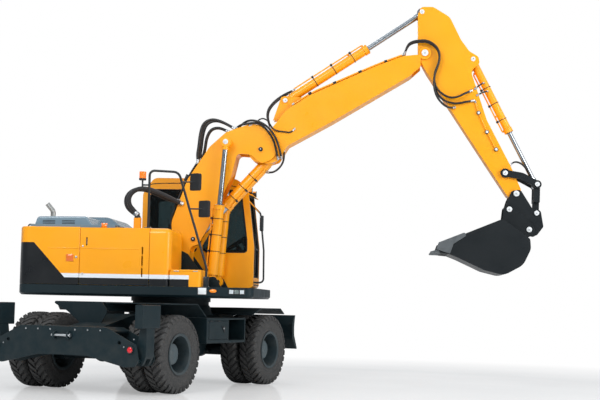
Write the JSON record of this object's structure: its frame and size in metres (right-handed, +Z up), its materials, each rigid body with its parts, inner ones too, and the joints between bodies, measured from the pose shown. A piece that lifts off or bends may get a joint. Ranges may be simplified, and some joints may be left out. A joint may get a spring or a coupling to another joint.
{
  "type": "wheeled excavator",
  "caption": "Wheeled excavator with a two-piece boom, arm and digging bucket, twin tyres, dozer blade and folding outriggers.",
  "frame": {"origin": "middle of the whole machine's footprint, on the floor", "axes": "+X the way the upper structure and boom face, +Y to its left, +Z up"},
  "size_m": [7.7198, 5.0622, 5.715],
  "materials": {
    "body_paint": "glossy orange-yellow paint",
    "engine_iron": "grey casting",
    "frame_paint": "dark blue-grey paint",
    "hood_paint": "glossy dark grey paint",
    "rail_paint": "black paint",
    "rim_paint": "dark blue-grey paint",
    "rod_chrome": "hard chrome, polished",
    "seat_fabric": "dark woven cloth",
    "trim_plastic": "dark grained plastic",
    "tyre": "black rubber, worn",
    "window_glass": "tinted glass"
  },
  "bodies": {
    "chassis": {"chassis_frame": "frame_paint", "rear_axle": "frame_paint", "front_axle": "frame_paint", "outrigger_frame": "frame_paint", "side_boxes": "frame_paint"},
    "upper_structure": {"deck": "frame_paint", "counterweight": "body_paint", "bodywork": "body_paint", "engine": "engine_iron", "cab_shell": "body_paint", "cab_glass": "window_glass", "seat": "seat_fabric", "controls": "trim_plastic", "rails": "rail_paint"},
    "wheel_rear_left": {"tyres_rear_left": "tyre", "rims_rear_left": "rim_paint"},
    "wheel_rear_right": {"tyres_rear_right": "tyre", "rims_rear_right": "rim_paint"},
    "knuckle_right": {"knuckle_right": "frame_paint"},
    "wheel_front_right": {"tyres_front_right": "tyre", "rims_front_right": "rim_paint"},
    "knuckle_left": {"knuckle_left": "frame_paint"},
    "wheel_front_left": {"tyres_front_left": "tyre", "rims_front_left": "rim_paint"},
    "outrigger_leg_left": {"outrigger_leg_left": "frame_paint"},
    "outrigger_barrel_left": {"outrigger_barrel_left": "frame_paint"},
    "outrigger_rod_left": {"outrigger_rod_left": "rod_chrome"},
    "outrigger_leg_right": {"outrigger_leg_right": "frame_paint"},
    "outrigger_barrel_right": {"outrigger_barrel_right": "frame_paint"},
    "outrigger_rod_right": {"outrigger_rod_right": "rod_chrome"},
    "blade_lower_links": {"blade_lower_links": "frame_paint"},
    "blade_upper_links": {"blade_upper_links": "frame_paint"},
    "blade": {"dozer_blade": "frame_paint"},
    "blade_barrels": {"blade_barrels": "frame_paint"},
    "blade_rods": {"blade_rods": "rod_chrome"},
    "side_box_door": {"side_box_door": "frame_paint"},
    "bonnet": {"bonnet": "hood_paint"},
    "pump_door": {"pump_door": "body_paint"},
    "cooler_door": {"cooler_door": "body_paint"},
    "cab_door": {"cab_door": "body_paint", "door_glass": "window_glass"},
    "tool_box_lid": {"tool_box_lid": "body_paint"},
    "lower_boom": {"lower_boom": "body_paint"},
    "lift_barrels": {"lift_barrels": "body_paint"},
    "lift_rods": {"lift_rods": "rod_chrome"},
    "upper_boom": {"upper_boom": "body_paint"},
    "adjust_barrel": {"adjust_barrel": "body_paint"},
    "adjust_rod": {"adjust_rod": "rod_chrome"},
    "arm": {"arm": "body_paint"},
    "arm_barrel": {"arm_barrel": "body_paint"},
    "arm_rod": {"arm_rod": "rod_chrome"},
    "rocker": {"rocker": "frame_paint"},
    "link": {"link": "frame_paint"},
    "bucket_barrel": {"bucket_barrel": "body_paint"},
    "bucket_rod": {"bucket_rod": "rod_chrome"},
    "bucket": {"coupler": "frame_paint", "bucket": "frame_paint"}
  },
  "joints": [
    {"name": "swing", "type": "hinge", "parent": "chassis", "child": "upper_structure", "pos_m": [-1.65988, 0.40213, 1.23], "axis": [0, 0, 1], "continuous": true},
    {"name": "wheel_rear_left_spin", "type": "hinge", "parent": "chassis", "child": "wheel_rear_left", "pos_m": [-3.17606, -0.83854, 0.5275], "axis": [-0.9285, 0.3714, 0], "continuous": true},
    {"name": "wheel_rear_right_spin", "type": "hinge", "parent": "chassis", "child": "wheel_rear_right", "pos_m": [-1.4175, -1.54191, 0.5275], "axis": [-0.9285, 0.3714, 0], "continuous": true},
    {"name": "steer_right", "type": "hinge", "parent": "chassis", "child": "knuckle_right", "pos_m": [-0.68128, 0.96388, 0.5275], "axis": [0, 0, 1], "range_deg": [-25, 25]},
    {"name": "wheel_front_right_spin", "type": "hinge", "parent": "knuckle_right", "child": "wheel_front_right", "pos_m": [-0.45195, 0.87215, 0.5275], "axis": [-0.9285, 0.3714, 0], "continuous": true},
    {"name": "steer_left", "type": "hinge", "parent": "chassis", "child": "knuckle_left", "pos_m": [-1.98116, 1.48379, 0.5275], "axis": [0, 0, 1], "range_deg": [-25, 25]},
    {"name": "wheel_front_left_spin", "type": "hinge", "parent": "knuckle_left", "child": "wheel_front_left", "pos_m": [-2.2105, 1.57552, 0.5275], "axis": [-0.9285, 0.3714, 0], "continuous": true},
    {"name": "outrigger_left", "type": "hinge", "parent": "chassis", "child": "outrigger_leg_left", "pos_m": [-3.61892, -1.45302, 0.455], "axis": [-0.3714, -0.9285, 0], "range_deg": [0, 112]},
    {"name": "outrigger_ram_left", "type": "hinge", "parent": "chassis", "child": "outrigger_barrel_left", "pos_m": [-2.94113, -1.72412, 0.62], "axis": [-0.3714, -0.9285, 0], "range_deg": [-0.02, 13.39]},
    {"name": "outrigger_rod_left", "type": "slide", "parent": "outrigger_barrel_left", "child": "outrigger_rod_left", "axis": [-0.9282, 0.3712, -0.0263], "range_m": [-0.0005, 0.16809]},
    {"name": "outrigger_right", "type": "hinge", "parent": "chassis", "child": "outrigger_leg_right", "pos_m": [-1.52055, -2.29231, 0.455], "axis": [0.3714, 0.9285, 0], "range_deg": [0, 112]},
    {"name": "outrigger_ram_right", "type": "hinge", "parent": "chassis", "child": "outrigger_barrel_right", "pos_m": [-2.19834, -2.02121, 0.62], "axis": [0.3714, 0.9285, 0], "range_deg": [-0.02, 13.39]},
    {"name": "outrigger_rod_right", "type": "slide", "parent": "outrigger_barrel_right", "child": "outrigger_rod_right", "axis": [0.9282, -0.3712, -0.0263], "range_m": [-0.0005, 0.16809]},
    {"name": "blade_lift", "type": "hinge", "parent": "chassis", "child": "blade_lower_links", "pos_m": [-1.26995, 1.37704, 0.51], "axis": [0.9285, -0.3714, 0], "range_deg": [-50, 0]},
    {"name": "blade_upper_link", "type": "hinge", "parent": "chassis", "child": "blade_upper_links", "pos_m": [-1.26995, 1.37704, 0.7], "axis": [0.9285, -0.3714, 0], "range_deg": [-50.02, 0.02]},
    {"name": "blade_level", "type": "hinge", "parent": "blade_lower_links", "child": "blade", "pos_m": [-1.06458, 1.89049, 0.79], "axis": [0.9285, -0.3714, 0], "range_deg": [-0.02, 50.02]},
    {"name": "blade_ram", "type": "hinge", "parent": "chassis", "child": "blade_barrels", "pos_m": [-1.28109, 1.34918, 0.985], "axis": [0.9285, -0.3714, 0], "range_deg": [-34.42, 0.02]},
    {"name": "blade_rod", "type": "slide", "parent": "blade_barrels", "child": "blade_rods", "axis": [0.3542, 0.8856, -0.3003], "range_m": [-0.0005, 0.3369]},
    {"name": "side_box_door_hinge", "type": "hinge", "parent": "chassis", "child": "side_box_door", "pos_m": [-0.87622, -0.88064, 0.84], "axis": [0, 0, -1], "range_deg": [0, 95]},
    {"name": "bonnet_hinge", "type": "hinge", "parent": "upper_structure", "child": "bonnet", "pos_m": [-2.28588, 0.40213, 2.2623], "axis": [0, 1, 0], "range_deg": [0, 50]},
    {"name": "pump_door_hinge", "type": "hinge", "parent": "upper_structure", "child": "pump_door", "pos_m": [-1.77588, -0.83487, 1.85], "axis": [0, 0, 1], "range_deg": [0, 100]},
    {"name": "cooler_door_hinge", "type": "hinge", "parent": "upper_structure", "child": "cooler_door", "pos_m": [-2.29788, 1.63913, 1.85], "axis": [0, 0, -1], "range_deg": [0, 100]},
    {"name": "cab_door_hinge", "type": "hinge", "parent": "upper_structure", "child": "cab_door", "pos_m": [-1.48688, 1.64913, 2.2], "axis": [0, 0, 1], "range_deg": [0, 85]},
    {"name": "tool_box_lid_hinge", "type": "hinge", "parent": "upper_structure", "child": "tool_box_lid", "pos_m": [-1.45388, -0.49787, 1.681], "axis": [0, -1, 0], "range_deg": [0, 80]},
    {"name": "boom_lift", "type": "hinge", "parent": "upper_structure", "child": "lower_boom", "pos_m": [-1.49688, 0.40213, 1.879], "axis": [0, -1, 0], "range_deg": [-65, 14]},
    {"name": "lift_ram", "type": "hinge", "parent": "upper_structure", "child": "lift_barrels", "pos_m": [-0.99988, 0.40213, 1.542], "axis": [0, -1, 0], "range_deg": [-63.24, 13.64]},
    {"name": "lift_rod", "type": "slide", "parent": "lift_barrels", "child": "lift_rods", "axis": [0.0774, 0, 0.997], "range_m": [-0.64577, 0.13948]},
    {"name": "boom_adjust", "type": "hinge", "parent": "lower_boom", "child": "upper_boom", "pos_m": [-0.32888, 0.40213, 3.527], "axis": [0, -1, 0], "range_deg": [-50, 12]},
    {"name": "adjust_ram", "type": "hinge", "parent": "upper_boom", "child": "adjust_barrel", "pos_m": [-0.18488, 0.40213, 3.42], "axis": [0, -1, 0], "range_deg": [-12.34, 51.36]},
    {"name": "adjust_rod_slide", "type": "slide", "parent": "adjust_barrel", "child": "adjust_rod", "axis": [-0.6691, 0, -0.7431], "range_m": [-0.14656, 0.03556]},
    {"name": "arm_crowd", "type": "hinge", "parent": "upper_boom", "child": "arm", "pos_m": [2.10312, 0.40213, 5.006], "axis": [0, 1, 0], "range_deg": [-45, 40]},
    {"name": "arm_ram", "type": "hinge", "parent": "upper_boom", "child": "arm_barrel", "pos_m": [0.01512, 0.40213, 4.285], "axis": [0, -1, 0], "range_deg": [-4.65, 5.23]},
    {"name": "arm_rod_slide", "type": "slide", "parent": "arm_barrel", "child": "arm_rod", "axis": [0.8329, 0, 0.5535], "range_m": [-0.42861, 0.38104]},
    {"name": "bucket_curl", "type": "hinge", "parent": "arm", "child": "bucket", "pos_m": [3.46712, 0.40213, 2.911], "axis": [0, 1, 0], "range_deg": [-100, 30]},
    {"name": "rocker_turn", "type": "hinge", "parent": "arm", "child": "rocker", "pos_m": [3.30012, 0.40213, 3.214], "axis": [0, 1, 0], "range_deg": [-77.32, 23.21]},
    {"name": "link_turn", "type": "hinge", "parent": "rocker", "child": "link", "pos_m": [3.77012, 0.40213, 3.052], "axis": [0, 1, 0], "range_deg": [-15.49, 51.58]},
    {"name": "bucket_ram", "type": "hinge", "parent": "arm", "child": "bucket_barrel", "pos_m": [2.82112, 0.40213, 4.924], "axis": [0, -1, 0], "range_deg": [-1.97, 6.52]},
    {"name": "bucket_rod_slide", "type": "slide", "parent": "bucket_barrel", "child": "bucket_rod", "axis": [0.4522, 0, -0.8919], "range_m": [-0.58455, 0.17571]}
  ],
  "couplings": [
    {"joint": "steer_left", "follows": "steer_right", "ratio": 1},
    {"joint": "outrigger_ram_left", "follows": "outrigger_left", "ratio": 0.11936},
    {"joint": "outrigger_rod_left", "follows": "outrigger_left", "m_per_rad": 0.08573},
    {"joint": "outrigger_ram_right", "follows": "outrigger_right", "ratio": 0.11936},
    {"joint": "outrigger_rod_right", "follows": "outrigger_right", "m_per_rad": 0.08573},
    {"joint": "blade_upper_link", "follows": "blade_lift", "ratio": 1},
    {"joint": "blade_level", "follows": "blade_lift", "ratio": -1},
    {"joint": "blade_ram", "follows": "blade_lift", "ratio": 0.688},
    {"joint": "blade_rod", "follows": "blade_lift", "m_per_rad": -0.38549},
    {"joint": "lift_ram", "follows": "boom_lift", "ratio": 0.9726},
    {"joint": "lift_rod", "follows": "boom_lift", "m_per_rad": 0.56879},
    {"joint": "adjust_ram", "follows": "boom_adjust", "ratio": -1.0268},
    {"joint": "adjust_rod_slide", "follows": "boom_adjust", "m_per_rad": 0.16738},
    {"joint": "arm_ram", "follows": "arm_crowd", "ratio": -0.11578},
    {"joint": "arm_rod_slide", "follows": "arm_crowd", "m_per_rad": 0.54508},
    {"joint": "rocker_turn", "follows": "bucket_curl", "ratio": 0.773},
    {"joint": "link_turn", "follows": "bucket_curl", "ratio": -0.51561},
    {"joint": "bucket_ram", "follows": "bucket_curl", "ratio": -0.06502},
    {"joint": "bucket_rod_slide", "follows": "bucket_curl", "m_per_rad": 0.33463}
  ]
}
